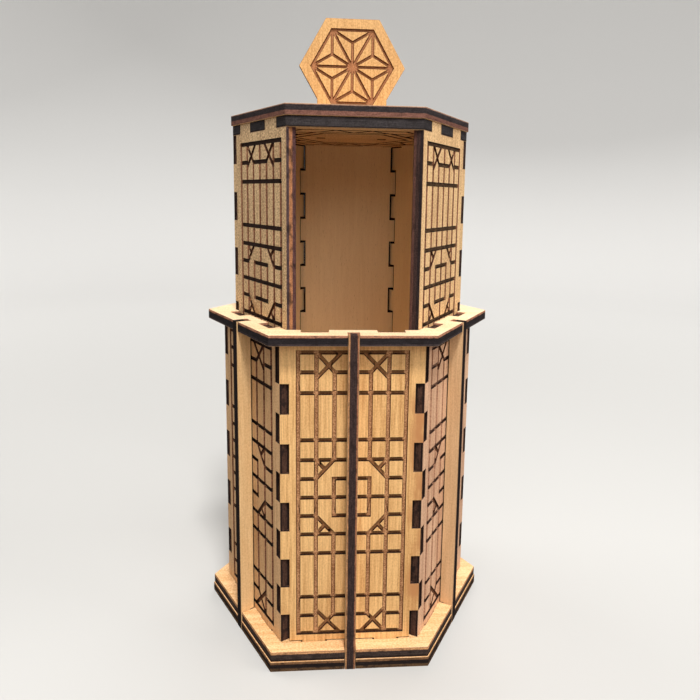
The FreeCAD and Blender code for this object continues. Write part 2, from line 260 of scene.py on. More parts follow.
# The inner faces' veneer is paler than the outer veneer: painted light that lifts the shade inside the
# tower.
INNER_VENEER = VeneerFinish("inner_veneer", (246, 216, 168), (232, 198, 150), contrast=0.8, speckle=0.2)
MEDAL_VENEER = VeneerFinish("medallion_veneer", (218, 172, 112), (176, 130, 76), speckle=0.6)

# What the laser leaves behind: brown patches beside the cuts, scorched rims, and soot on the edges.
BURN_MARK = (184, 127, 78)
SCORCH = (96, 60, 42)
SOOT = (34, 28, 27)

PANEL_EDGE = EdgeFinish("panel_edge", (40, 30, 28), (76, 54, 44), (48, 36, 32), 0.7 * MM, 2.2 * MM, 0.8)
# The posts' edges beside the opening: the left one is painted lighter and the right one darker, partly their
# char and partly painted light and shade of their sides.
LEFT_POST_EDGE = EdgeFinish(
    "left_post_edge", (74, 58, 58), (156, 106, 72), (84, 58, 56), 0.9 * MM, 1.9 * MM, 0.7
)
RIGHT_POST_EDGE = EdgeFinish(
    "right_post_edge", (46, 38, 38), (64, 48, 44), (90, 62, 54), 1.0 * MM, 2.1 * MM
)
FIN_EDGE = EdgeFinish("fin_edge", (168, 122, 84), (60, 47, 44), (146, 98, 70), 0.5 * MM, 2.5 * MM, 0.5)
DARK_FIN_EDGE = EdgeFinish("dark_fin_edge", (66, 46, 36), (28, 22, 22), (60, 42, 34), 0.3 * MM, 2.7 * MM)
CAP_EDGE = EdgeFinish("cap_edge", (150, 116, 98), (52, 46, 46), (118, 82, 70), 0.3 * MM, 1.75 * MM, 0.35)
CEILING_EDGE = EdgeFinish("ceiling_edge", (34, 28, 27), (56, 52, 52), (44, 38, 38), 0.4 * MM, 2.7 * MM, 0.4)
LEDGE_EDGE = EdgeFinish("ledge_edge", (172, 120, 94), (40, 36, 37), (62, 54, 54), 0.7 * MM, 2.4 * MM, 0.6)
BASE_EDGE = EdgeFinish("base_edge", (196, 144, 100), (64, 53, 48), (42, 34, 31), 0.8 * MM, 2.3 * MM)
FOOT_EDGE = EdgeFinish("foot_edge", (116, 84, 58), (38, 31, 29), (92, 70, 50), 0.8 * MM, 2.0 * MM, 0.8)
# The seams' colour is near black: char, and painted shade where boards meet and in the tower's inner
# corners.
SEAM_CHAR_AND_SHADE = EdgeFinish("seam_char_and_painted_shade", (30, 20, 16), (30, 20, 16), (30, 20, 16))

# The lines across the grain (rails) are painted darker than the uprights: painted shade that their upper
# walls cast under light from above. The right panel's rail walls are near black: painted shadow.
FRONT_UPRIGHT = LineFinish(
    "front_upright_line", (140, 92, 58), (206, 152, 106), (84, 50, 32), (120, 76, 50)
)
FRONT_RAIL = LineFinish("front_rail_line", (106, 70, 42), (132, 90, 56), (44, 27, 18), (66, 42, 28))
FRONT_SLOPE = LineFinish("front_slope_line", (128, 84, 50), (154, 106, 68), (66, 40, 26), (92, 56, 36))
SIDE_UPRIGHT = LineFinish(
    "side_upright_line", (170, 122, 86), (206, 160, 118), (104, 66, 48), (152, 106, 78)
)
SIDE_RAIL = LineFinish("side_rail_line", (42, 26, 20), (64, 41, 30), (28, 18, 14), (44, 27, 20))
SIDE_SLOPE = LineFinish("side_slope_line", (104, 66, 44), (132, 86, 58), (62, 36, 25), (88, 54, 38))
# The right panel's uprights are paler than the other sides': partly their own tone, partly painted light of
# that side.
RIGHT_UPRIGHT = LineFinish(
    "right_upright_line", (198, 154, 122), (220, 180, 146), (160, 116, 92), (196, 152, 120)
)
RIGHT_RAIL = LineFinish("right_rail_line", (108, 76, 60), (134, 98, 78), (48, 30, 24), (70, 46, 36))
TOWER_RAIL = LineFinish("tower_rail_line", (58, 40, 28), (112, 84, 58), (34, 22, 17), (54, 35, 25))
MEDAL_LINE = LineFinish("medallion_line", (148, 98, 64), (176, 122, 84), (104, 62, 40), (134, 86, 56))
CEILING_LINE = LineFinish("ceiling_line", (44, 25, 18), (68, 40, 27), (30, 17, 13), (44, 26, 19))

FRONT_ENGRAVING = Engraving(FRONT_UPRIGHT, FRONT_RAIL, FRONT_SLOPE, Kind.UPRIGHT)
SIDE_ENGRAVING = Engraving(SIDE_UPRIGHT, SIDE_RAIL, SIDE_SLOPE)
TOWER_ENGRAVING = Engraving(SIDE_UPRIGHT, TOWER_RAIL, SIDE_SLOPE)
RIGHT_ENGRAVING = Engraving(RIGHT_UPRIGHT, RIGHT_RAIL, SIDE_SLOPE)
MEDAL_ENGRAVING = Engraving(MEDAL_LINE, MEDAL_LINE, MEDAL_LINE)
CEILING_ENGRAVING = Engraving(CEILING_LINE, CEILING_LINE, CEILING_LINE)

# Case panels with a veneer or engraving of their own. The side panels' tones are partly another tone of
# board and partly painted light and shade of their side.
PANEL_LOOKS = {
    "front": (FRONT_VENEER, FRONT_ENGRAVING),
    "front_left": (LEFT_VENEER, SIDE_ENGRAVING),
    "front_right": (RIGHT_VENEER, RIGHT_ENGRAVING),
}

# The tower's panels beside the opening, with a veneer and edge of their own per side: partly the board's own
# tone and char, partly painted light and shade of that side.
POST_LOOKS = {
    "front_right": (TOWER_VENEER, RIGHT_POST_EDGE, TOWER_ENGRAVING),
    "front_left": (LEFT_TOWER_VENEER, LEFT_POST_EDGE, SIDE_ENGRAVING),
}


# ---------------------------------------------------------------- shader nodes

@dataclass(frozen=True)
class Waves:
    """A noise on a board's own coordinates.

    Args:
        across: Waves in a millimetre across the grain.
        deep: Waves in a millimetre into the board.
        along: Waves in a millimetre along the grain.
        detail: How many finer waves lie on them.
        roughness: How strong the finer waves are, 0 to 1.
        low: The noise's value that a mask turns into 0.
        high: The noise's value that a mask turns into 1.
    """

    across: float
    deep: float
    along: float
    detail: float = 2.0
    roughness: float = 0.5
    low: float = 0.3
    high: float = 0.7


# The veneer. Its streaks alone are counted in a streak's width and not in a millimetre.
STREAKS = Waves(1.0, 0.6, 0.035, 3.0, 0.6)
FIBRES = Waves(1 / 0.2, 0.4, 1 / 5, low=0.28, high=0.72)
DRIFT = Waves(1 / 11, 0.3, 1 / 48, low=0.28, high=0.72)
MOTTLE = Waves(1 / 0.45, 0.3, 1 / 0.6, 1.0)
PORES = Waves(1 / 0.13, 0.2, 1 / 1.5, 1.0, low=0.66, high=0.74)
BURN_PATCHES = Waves(0.16, 0.3, 0.11, low=0.32, high=0.6)
STREAK_SHARE, FIBRE_SHARE, DRIFT_SHARE = 0.42, 0.24, 0.34
TONE_HEIGHT = 0.5
PORE_STRENGTH = 0.4
LEAST_SCORCH, SPECK_SCORCH = 0.4, 0.3
GRAIN_RELIEF = 0.04 * MM
VENEER_SPECULAR = 0.32

# The burn marks: how wide their border is, and how far below the panel's top they start and are full.
BURN_BORDER = 3.5 * MM
BURN_START, BURN_FULL = 14.6 * MM, 20.6 * MM

# The charred edges: the waves, how far the layers wander, half the width of the layers' borders, and
# the darkest and palest shade of the thin layers and of the grit.
WANDER = Waves(0.8, 0.9, 0.8, 3.0)
THIN_LAYERS = Waves(0.26, 1 / 0.16, 0.26, 3.0, 0.6, low=0.25, high=0.75)
SOOT_PATCHES = Waves(0.42, 0.5, 0.42, low=0.48)
EDGE_GRIT = Waves(2.6, 2.6, 2.6, 1.0)
WANDER_DEPTH = 0.24 * MM
LAYER_BORDER = 0.08 * MM
THIN_SHADES = ((0.62, 0.6, 0.6, 1.0), (1.45, 1.42, 1.4, 1.0))
GRIT_SHADES = ((0.78, 0.78, 0.78, 1.0), (1.2, 1.2, 1.2, 1.0))
GRIT_HEIGHT = 0.4
EDGE_SPECULAR = 0.02

# The engraved lines.
LASER_GRIT = Waves(1 / 0.32, 0.3, 1 / 0.4, 2.0, 0.6)
LASER_ROWS = Waves(1 / 1.6, 0.3, 1 / 0.14, 1.0)
LASER_DRIFT = Waves(1 / 3, 0.3, 1 / 6, 1.0)
GRIT_SHARE, ROW_SHARE, LASER_DRIFT_SHARE = 0.6, 0.2, 0.2
SPECKS_FROM, SPECKS_FULL = 0.4, 0.62
LINE_SPECULAR = 0.12

# The height of what the laser leaves, how strongly any height shows, and a noise's middle value.
CHAR_RELIEF = 0.08 * MM
BUMP_STRENGTH = 0.6
MIDDLE = 0.5

VECTOR = "NodeSocketVector"
FLOAT = "NodeSocketFloat"
COLOUR = "NodeSocketColor"


@dataclass
class NodeBench:
    """A node tree together with short ways to add to it.

    Args:
        tree: The tree that nodes are added to.
    """

    tree: bpy.types.NodeTree

    def feed(self, node: Node, inputs: dict[str | int, object]) -> None:
        """Link sockets to a node's inputs, and set plain values on them.

        Args:
            node: The node.
            inputs: Values or output sockets, by the input's name or number.
        """
        for key, value in inputs.items():
            if isinstance(value, Socket):
                self.tree.links.new(value, node.inputs[key])
            else:
                node.inputs[key].default_value = value

    def add(self, kind: str, inputs: dict[str | int, object] | None = None, **settings: object) -> Node:
        """Add a node, set its properties and feed its inputs.

        Args:
            kind: The node's type.
            inputs: Values or output sockets, by the input's name or number.
            **settings: Properties of the node.

        Returns:
            The node.
        """
        node = self.tree.nodes.new(kind)
        for key, value in settings.items():
            setattr(node, key, value)
        self.feed(node, inputs or {})
        return node

    def group(self, tree: bpy.types.NodeTree, inputs: dict[str | int, object]) -> Outputs:
        """Place a node group, feed its inputs and return its outputs."""
        return self.add("ShaderNodeGroup", inputs, node_tree=tree).outputs

    def math(self, operation: str, first: object, second: object = 0.0) -> Socket:
        """Add a Math node and return its output."""
        return self.add("ShaderNodeMath", {0: first, 1: second}, operation=operation).outputs[0]

    def weigh(self, *parts: tuple[Socket, float]) -> Socket:
        """Add values up by their shares.

        Args:
            *parts: Each value with its share.

        Returns:
            The sum.
        """
        total = self.math("MULTIPLY", *parts[0])
        for value, share in parts[1:]:
            total = self.math("ADD", total, self.math("MULTIPLY", value, share))
        return total

    def noise(self, place: Socket, waves: Waves, unit: float = MM) -> Socket:
        """Add a noise.

        Args:
            place: The place that the noise is read at.
            waves: The noise's waves.
            unit: The length that the waves are counted in, which is a millimetre unless it is given.

        Returns:
            The noise's value.
        """
        scale = (waves.across / unit, waves.deep / unit, waves.along / unit)
        scaled = self.add("ShaderNodeVectorMath", {0: place, 1: scale}, operation="MULTIPLY").outputs[0]
        inputs = {"Vector": scaled, "Scale": 1.0, "Detail": waves.detail, "Roughness": waves.roughness}
        return self.add("ShaderNodeTexNoise", inputs).outputs[0]

    def ramp(self, value: Socket, low: float, high: float) -> Socket:
        """Return a smooth step of a value from 0 at low to 1 at high."""
        inputs = {"Value": value, "From Min": low, "From Max": high}
        return self.add("ShaderNodeMapRange", inputs, interpolation_type="SMOOTHSTEP").outputs[0]

    def mask(self, place: Socket, waves: Waves, unit: float = MM) -> Socket:
        """Add a noise and return the mask of where it is high."""
        return self.ramp(self.noise(place, waves, unit), waves.low, waves.high)

    def mix(self, factor: object, first: object, second: object, blend: str = "MIX") -> Socket:
        """Mix two colours and return the result."""
        inputs = {0: factor, 6: first, 7: second}
        return self.add("ShaderNodeMix", inputs, data_type="RGBA", blend_type=blend).outputs[2]


def new_group(
    name: str, inputs: dict[str, str], outputs: dict[str, str]
) -> tuple[NodeBench, Outputs, Node]:
    """Start a shader node group with named sockets.

    Args:
        name: The group's name.
        inputs: Socket type, by the input's name.
        outputs: Socket type, by the output's name.

    Returns:
        The group's bench, the sockets that come in and the node that they leave by.
    """
    tree = bpy.data.node_groups.new(name, "ShaderNodeTree")
    for label, kind in inputs.items():
        tree.interface.new_socket(label, in_out="INPUT", socket_type=kind)
    for label, kind in outputs.items():
        tree.interface.new_socket(label, in_out="OUTPUT", socket_type=kind)
    bench = NodeBench(tree)
    return bench, bench.add("NodeGroupInput").outputs, bench.add("NodeGroupOutput")


def new_material(name: str, roughness: float) -> tuple[Material, NodeBench, Node]:
    """Start a material with a Principled BSDF.

    Args:
        name: The material's name.
        roughness: The surface's roughness.

    Returns:
        The material, its bench and its shader.
    """
    material = bpy.data.materials.new(name)
    material.use_nodes = True
    shader = material.node_tree.nodes["Principled BSDF"]
    shader.inputs["Roughness"].default_value = roughness
    return material, NodeBench(material.node_tree), shader


class FinishShop:
    """Makes the chest's materials from three shared node groups."""

    def __init__(self) -> None:
        """Build the node groups once."""
        self.grain = self.build_grain()
        self.layers = self.build_layers()
        self.burn = self.build_burn()
        self.made: dict[str, Material] = {}

    def build_grain(self) -> bpy.types.NodeTree:
        """Build the veneer's grain: long streaks, slow drift, fine fibres, a mottle and short pores.

        Returns:
            The node group. Its place runs across the grain, into the board and along the grain.
        """
        inputs = {"Place": VECTOR, "Streak": FLOAT, "Speckle": FLOAT}
        outputs = {"Tone": FLOAT, "Pores": FLOAT, "Height": FLOAT}
        bench, source, sink = new_group("veneer_grain", inputs, outputs)
        place = source["Place"]
        per_streak = bench.math("DIVIDE", 1.0, source["Streak"])
        in_streaks = bench.add("ShaderNodeVectorMath", {0: place, "Scale": per_streak}, operation="SCALE")
        tone = bench.weigh(
            (bench.mask(in_streaks.outputs[0], STREAKS, unit=1.0), STREAK_SHARE),
            (bench.mask(place, FIBRES), FIBRE_SHARE),
            (bench.mask(place, DRIFT), DRIFT_SHARE),
        )
        mottle = bench.math("SUBTRACT", bench.mask(place, MOTTLE), MIDDLE)
        tone = bench.math("ADD", tone, bench.math("MULTIPLY", mottle, source["Speckle"]))
        pores = bench.mask(place, PORES)
        height = bench.math("SUBTRACT", bench.math("MULTIPLY", tone, TONE_HEIGHT), pores)
        bench.feed(sink, {"Tone": tone, "Pores": pores, "Height": height})
        return bench.tree

    def build_layers(self) -> bpy.types.NodeTree:
        """Build the layers of a charred plywood edge.

        Returns:
            The node group. Its place's second part is the depth below the outer face.
        """
        inputs = {
            "Place": VECTOR,
            "Outer": COLOUR,
            "Core": COLOUR,
            "Inner": COLOUR,
            "Outer Depth": FLOAT,
            "Inner Depth": FLOAT,
            "Soot": FLOAT,
        }
        bench, source, sink = new_group("charred_layers", inputs, {"Colour": COLOUR, "Height": FLOAT})
        place = source["Place"]
        straight = bench.add("ShaderNodeSeparateXYZ", {0: place}).outputs["Y"]
        wander = bench.math("SUBTRACT", bench.noise(place, WANDER), MIDDLE)
        depth = bench.math("ADD", straight, bench.math("MULTIPLY", wander, WANDER_DEPTH))
        colour = source["Outer"]
        for edge, layer in (("Outer Depth", "Core"), ("Inner Depth", "Inner")):
            past = bench.math("SUBTRACT", depth, source[edge])
            colour = bench.mix(bench.ramp(past, -LAYER_BORDER, LAYER_BORDER), colour, source[layer])
        thin = bench.noise(place, THIN_LAYERS)
        grit = bench.noise(place, EDGE_GRIT)
        for value, waves, shades in ((thin, THIN_LAYERS, THIN_SHADES), (grit, EDGE_GRIT, GRIT_SHADES)):
            shade = bench.mix(bench.ramp(value, waves.low, waves.high), *shades)
            colour = bench.mix(1.0, colour, shade, "MULTIPLY")
        sooty = bench.math("MULTIPLY", bench.mask(place, SOOT_PATCHES), source["Soot"])
        colour = bench.mix(sooty, colour, paint(SOOT))
        height = bench.math("ADD", thin, bench.math("MULTIPLY", grit, GRIT_HEIGHT))
        bench.feed(sink, {"Colour": colour, "Height": height})
        return bench.tree

    def build_burn(self) -> bpy.types.NodeTree:
        """Build the speckle of a surface that a laser has burnt away in rows.

        Returns:
            The node group, with a mask of the specks and a height.
        """
        outputs = {"Specks": FLOAT, "Height": FLOAT}
        bench, source, sink = new_group("laser_speckle", {"Place": VECTOR}, outputs)
        place = source["Place"]
        grit = bench.noise(place, LASER_GRIT)
        rows = bench.noise(place, LASER_ROWS)
        drift = bench.noise(place, LASER_DRIFT)
        mixed = bench.weigh((grit, GRIT_SHARE), (rows, ROW_SHARE), (drift, LASER_DRIFT_SHARE))
        specks = bench.ramp(mixed, SPECKS_FROM, SPECKS_FULL)
        bench.feed(sink, {"Specks": specks, "Height": bench.math("ADD", grit, rows)})
        return bench.tree

    def start(self, name: str, roughness: float, specular: float) -> tuple[NodeBench, Node, Socket]:
        """Start a board's material.

        Args:
            name: The material's name.
            roughness: The surface's roughness.
            specular: The surface's specular level.

        Returns:
            The material's bench, its shader and the board's own coordinates.
        """
        material, bench, shader = new_material(name, roughness)
        shader.inputs["Specular IOR Level"].default_value = specular
        self.made[name] = material
        return bench, shader, bench.add("ShaderNodeAttribute", attribute_name=PLACE).outputs["Vector"]

    def finish(self, bench: NodeBench, shader: Node, colour: Socket, height: Socket, relief: float) -> None:
        """Feed a shader's colour and its bump.

        Args:
            bench: The material's bench.
            shader: The Principled BSDF.
            colour: The base colour.
            height: The height of the surface, 0 to 1.
            relief: The height's size in metres.
        """
        inputs = {"Strength": BUMP_STRENGTH, "Distance": relief, "Height": height}
        bump = bench.add("ShaderNodeBump", inputs)
        bench.feed(shader, {"Base Color": colour, "Normal": bump.outputs[0]})

    def burn_marks(self, bench: NodeBench, place: Socket, reach: float) -> Socket:
        """Add the patches that are burnt brown on the front panel's right side, below its top.

        Args:
            bench: The material's bench.
            place: The board's own coordinates.
            reach: How far the patches reach in from the panel's edge, in metres.

        Returns:
            The mask of the patches.
        """
        object_place = bench.add("ShaderNodeTexCoord").outputs["Object"]
        split = bench.add("ShaderNodeSeparateXYZ", {0: object_place}).outputs
        border = PANEL_HALF - reach
        near = bench.ramp(split["X"], border, border + BURN_BORDER)
        below = bench.ramp(split["Z"], PANEL_TOP - BURN_START, PANEL_TOP - BURN_FULL)
        corner = bench.math("MULTIPLY", near, below)
        return bench.math("MULTIPLY", corner, bench.mask(place, BURN_PATCHES))

    def veneer(self, finish: VeneerFinish, scorched: bool = False) -> Material:
        """Make a face veneer, or the scorched rim where the laser cut through it.

        Args:
            finish: The veneer's finish.
            scorched: Whether this is the rim.

        Returns:
            The material.
        """
        name = f"{finish.name}_rim" if scorched else finish.name
        if name in self.made:
            return self.made[name]
        bench, shader, place = self.start(name, finish.roughness, VENEER_SPECULAR)
        inputs = {"Place": place, "Streak": finish.streak, "Speckle": finish.speckle}
        grain = bench.group(self.grain, inputs)
        tone = bench.math("SUBTRACT", grain["Tone"], MIDDLE)
        tone = bench.math("ADD", bench.math("MULTIPLY", tone, finish.contrast), MIDDLE)
        colour = bench.mix(tone, paint(finish.dark), paint(finish.light))
        pores = bench.math("MULTIPLY", grain["Pores"], PORE_STRENGTH)
        colour = bench.mix(pores, colour, paint(finish.pore))
        if finish.burn_reach:
            marks = self.burn_marks(bench, place, finish.burn_reach)
            colour = bench.mix(marks, colour, paint(BURN_MARK))
        if scorched:
            specks = bench.group(self.burn, {"Place": place})["Specks"]
            scorch = bench.math("ADD", bench.math("MULTIPLY", specks, SPECK_SCORCH), LEAST_SCORCH)
            colour = bench.mix(scorch, colour, paint(SCORCH))
        self.finish(bench, shader, colour, grain["Height"], GRAIN_RELIEF)
        return self.made[name]

    def edge(self, finish: EdgeFinish) -> Material:
        """Make a charred edge that shows the layers of the plywood.

        Args:
            finish: The edge's finish.

        Returns:
            The material.
        """
        if finish.name in self.made:
            return self.made[finish.name]
        bench, shader, place = self.start(finish.name, finish.roughness, EDGE_SPECULAR)
        inputs = {
            "Place": place,
            "Outer": paint(finish.outer),
            "Core": paint(finish.core),
            "Inner": paint(finish.inner),
            "Outer Depth": finish.outer_depth,
            "Inner Depth": finish.inner_depth,
            "Soot": finish.soot,
        }
        layers = bench.group(self.layers, inputs)
        self.finish(bench, shader, layers["Colour"], layers["Height"], CHAR_RELIEF)
        return self.made[finish.name]

    def line(self, finish: LineFinish, wall: bool = False) -> Material:
        """Make the floor of an engraved line, or its walls.

        Args:
            finish: The line's finish.
            wall: Whether this is for the walls.

        Returns:
            The material.
        """
        name = f"{finish.name}_wall" if wall else finish.name
        if name in self.made:
            return self.made[name]
        bench, shader, place = self.start(name, finish.roughness, LINE_SPECULAR)
        burn = bench.group(self.burn, {"Place": place})
        low, high = (finish.wall, finish.wall_speck) if wall else (finish.floor, finish.speck)
        colour = bench.mix(burn["Specks"], paint(low), paint(high))
        self.finish(bench, shader, colour, burn["Height"], CHAR_RELIEF)
        return self.made[name]


# ---------------------------------------------------------------- boards

def take_up(piece: Object) -> None:
    """Select one object alone and make it active.

    Args:
        piece: The object.
    """
    bpy.ops.object.select_all(action="DESELECT")
    piece.select_set(True)
    bpy.context.view_layer.objects.active = piece


@contextmanager
def editing(piece: Object, mode: str) -> Iterator[None]:
    """Hold one object in edit mode, with nothing selected at the start.

    Args:
        piece: The object.
        mode: What is selected in it: VERT, EDGE or FACE.

    Yields:
        Nothing. The object is in edit mode meanwhile.
    """
    take_up(piece)
    bpy.ops.object.mode_set(mode="EDIT")
    bpy.ops.mesh.select_mode(type=mode)
    bpy.ops.mesh.select_all(action="DESELECT")
    yield
    bpy.ops.object.mode_set(mode="OBJECT")


def pick_faces(piece: Object, wanted: Callable[[Face], bool]) -> int:
    """Select just the faces that pass a test, in edit mode.

    Args:
        piece: The object in edit mode.
        wanted: The test.

    Returns:
        How many faces passed.
    """
    grid = bmesh.from_edit_mesh(piece.data)
    count = 0
    for face in grid.faces:
        passed = wanted(face)
        face.select_set(passed)
        count += passed
    bmesh.update_edit_mesh(piece.data)
    return count


def inset_faces(
    piece: Object, kinds: Container[int], width: float, strip_kind: Callable[[Face], int]
) -> None:
    """Inset the faces of some kinds and give the strip along their border a kind of its own.

    Args:
        piece: The object.
        kinds: The kinds of the faces.
        width: Width of the strip, in metres.
        strip_kind: Tells the kind of a face in the strip.
    """
    with editing(piece, "FACE"):
        if pick_faces(piece, lambda face: face.material_index in kinds):
            bpy.ops.mesh.inset(thickness=width, use_boundary=True, use_even_offset=True)
            grid = bmesh.from_edit_mesh(piece.data)
            for face in grid.faces:
                if face.material_index in kinds and not face.select:
                    face.material_index = strip_kind(face)
            bmesh.update_edit_mesh(piece.data)


@dataclass(frozen=True)
class LineWall:
    """A straight wall of an engraved line, in a board's own flat coordinates.

    Args:
        place: Where the wall stands.
        facing: The side that the line lies on, 1 or -1.
        low: Where the wall starts.
        high: Where the wall ends.
        reach: Half the width of a line, with a little to spare, in metres.
        overrun: How far a line may run on past its wall, through a crossing, in metres.
    """

    place: float
    facing: float
    low: float
    high: float
    reach: float = 0.65 * MM
    overrun: float = 1.3 * MM

    def bounds(self, place: float, length: float, spread: float) -> bool:
        """Return whether a point lies in the line beside this wall, or in the spread of its colour of char
        and painted shade.
        """
        near = -spread < (place - self.place) * self.facing < self.reach
        return near and self.low - self.overrun < length < self.high + self.overrun


@dataclass
class Board:
    """One laser-cut board of the chest.

    Args:
        node: The CAD node that the board stands for.
        lay: How the board stands.
        slot: Name of a material slot, which nothing here reads.
        veneer: Finish of the faces.
        edge: Finish of the cut edges.
        engraving: Finish of the engraved lines.
        back: Finish of the inner face, where it isn't the outer face's.
        side: Number of the hexagon's side, counted from the front.
        number: Number of the board, which gives it a stretch of grain of its own.
        seam: Where dark seams of char and painted shade show.
        rim: Width of the softened, scorched rim along the cuts, in metres.
        seam_width: Width of the bevel in a seam, coloured with char and painted shade, in metres.
        corner_width: Width of the dark strip along the finger joints, char and painted shade, in metres.
        corner_reach: How far the finger joints reach into the inner face, in metres.
        burn: Width of the dark strip along an engraved line's walls, burnt and with painted shade, in
            metres.
        spread: How far a line's colour, char and painted shade, spreads into the lines that it crosses, in
            metres.
    """

    node: str
    lay: Lay
    slot: str
    veneer: VeneerFinish
    edge: EdgeFinish
    engraving: Engraving = SIDE_ENGRAVING
    back: VeneerFinish | None = None
    side: int = 0
    number: int = 0
    seam: Seam = Seam.NONE
    rim: float = 0.1 * MM
    seam_width: float = 0.35 * MM
    corner_width: float = 0.32 * MM
    corner_reach: float = 3.5 * MM
    burn: float = 0.2 * MM
    spread: float = 0.25 * MM

    def to_front(self) -> Matrix:
        """Return the turn that brings the board to the front side."""
        return Matrix.Rotation(-SIDE_TURN * self.side, 4, "Z")

    def own_axes(self) -> tuple[Vector, Vector, Vector]:
        """Work out the board's own axes, as they are once it is turned to the front.

        Returns:
            The ways across the grain, into the board and along the grain.
        """
        across, back, up = Vector((1, 0, 0)), Vector((0, 1, 0)), Vector((0, 0, 1))
        ways = {
            Lay.PANEL: (across, back, up),
            Lay.FIN: (back, across, up),
            Lay.LEVEL: (back, -up, across),
            Lay.CEILING: (back, up, across),
        }
        return ways[self.lay]

    def line_ways(self) -> dict[Kind, tuple[Vector, Vector]]:
        """Return the way across each kind of straight line and the way along it."""
        across, _, along = self.own_axes()
        return {Kind.UPRIGHT: (across, along), Kind.RAIL: (along, across)}

    def spread_of(self, kind: Kind) -> float:
        """Return how far the colour, char and painted shade, of one kind of line spreads into the lines that
        it crosses.
        """
        return self.spread if kind == self.engraving.through else 0.0

    def measure(self, piece: Object) -> list[float]:
        """Measure how deep the points of a piece lie in the board.

        Args:
            piece: The piece.

        Returns:
            The depth of each vertex below the outer face, in metres.
        """
        turn = self.to_front()
        inwards = self.own_axes()[1]
        depths = [(turn @ vertex.co).dot(inwards) for vertex in piece.data.vertices]
        outer = min(depths)
        return [depth - outer for depth in depths]

    def copy_node(self) -> Object:
        """Copy the CAD node and join its loose triangles into clean faces.

        Returns:
            The copy, with no finish yet.
        """
        name = f"{self.node}_board"
        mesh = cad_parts[self.node].data.copy()
        mesh.name = name
        mesh.materials.clear()
        piece = bpy.data.objects.new(name, mesh)
        bpy.context.scene.collection.objects.link(piece)
        self.clean(piece)
        return piece

    def clean(self, piece: Object) -> None:
        """Merge doubles and dissolve the lines within flat faces.

        Args:
            piece: The piece.
        """
        with editing(piece, "VERT"):
            bpy.ops.mesh.select_all(action="SELECT")
            bpy.ops.mesh.remove_doubles(threshold=WELD)
            bpy.ops.mesh.dissolve_limited(angle_limit=FLAT_ANGLE)

    def engrave(self, piece: Object) -> None:
        """Leave the board as the CAD node has it."""

    def sort_faces(self, piece: Object) -> None:
        """Give each face the slot of its kind, by its normal and its depth in the board.

        Args:
            piece: The piece.
        """
        turn = self.to_front().to_3x3()
        inwards = self.own_axes()[1]
        points = self.measure(piece)
        for polygon in piece.data.polygons:
            depths = [points[index] for index in polygon.vertices]
            level = abs((turn @ polygon.normal).dot(inwards)) > SQUARE
            if level and max(depths) < SLACK:
                kind = Kind.FACE
            elif level and min(depths) > PLY - SLACK:
                kind = Kind.BACK
            elif level:
                kind = Kind.SLOPE
            elif max(depths) - min(depths) > PLY / 2:
                kind = Kind.EDGE
            else:
                kind = Kind.SLOPE_WALL
            polygon.material_index = kind

    def find_walls(self, piece: Object) -> dict[Kind, list[LineWall]]:
        """Find the walls of the uprights and rails, and give them slots of their own.

        Args:
            piece: The piece, with its faces sorted.

        Returns:
            The walls, by the kind of their line.
        """
        turn = self.to_front()
        turn_3 = turn.to_3x3()
        walls: dict[Kind, list[LineWall]] = {Kind.UPRIGHT: [], Kind.RAIL: []}
        for polygon in piece.data.polygons:
            if polygon.material_index != Kind.SLOPE_WALL:
                continue
            for kind, (way, length) in self.line_ways().items():
                facing = (turn_3 @ polygon.normal).dot(way)
                if abs(facing) > SQUARE:
                    points = [turn @ piece.data.vertices[index].co for index in polygon.vertices]
                    lengths = [point.dot(length) for point in points]
                    place = sum(point.dot(way) for point in points) / len(points)
                    walls[kind].append(LineWall(place, math.copysign(1, facing), min(lengths), max(lengths)))
                    polygon.material_index = WALL_OF[kind]
        return walls

    def cut_floors(self, piece: Object, walls: dict[Kind, list[LineWall]]) -> None:
        """Cut the floor of the engraved lines where the lines meet and where the spread of their colour
        ends.

        Args:
            piece: The piece.
            walls: The walls of the uprights and rails.
        """
        back_turn = self.to_front().to_3x3().inverted()
        with editing(piece, "FACE"):
            for kind, (way, _) in self.line_ways().items():
                spread = self.spread_of(kind)
                sides = [(wall.place, wall.place - wall.facing * spread) for wall in walls[kind]]
                for place in sorted({round(place / MM, 2) for places in sides for place in places}):
                    pick_faces(piece, lambda face: face.material_index == Kind.SLOPE)
                    cut = {"plane_co": back_turn @ way * place * MM, "plane_no": back_turn @ way}
                    bpy.ops.mesh.bisect(threshold=WELD, **cut)

    def part_lines(self, piece: Object) -> None:
        """Tell the floors of the uprights and rails from the slopes, and give them their slots.

        Args:
            piece: The piece, with its faces sorted.
        """
        walls = self.find_walls(piece)
        self.cut_floors(piece, walls)
        turn = self.to_front()
        ways = self.line_ways()
        through_first = sorted(ways, key=lambda kind: kind != self.engraving.through)
        for polygon in piece.data.polygons:
            if polygon.material_index != Kind.SLOPE:
                continue
            centre = turn @ polygon.center
            for kind in through_first:
                way, length = ways[kind]
                point = (centre.dot(way), centre.dot(length), self.spread_of(kind))
                if any(wall.bounds(*point) for wall in walls[kind]):
                    polygon.material_index = kind
                    break

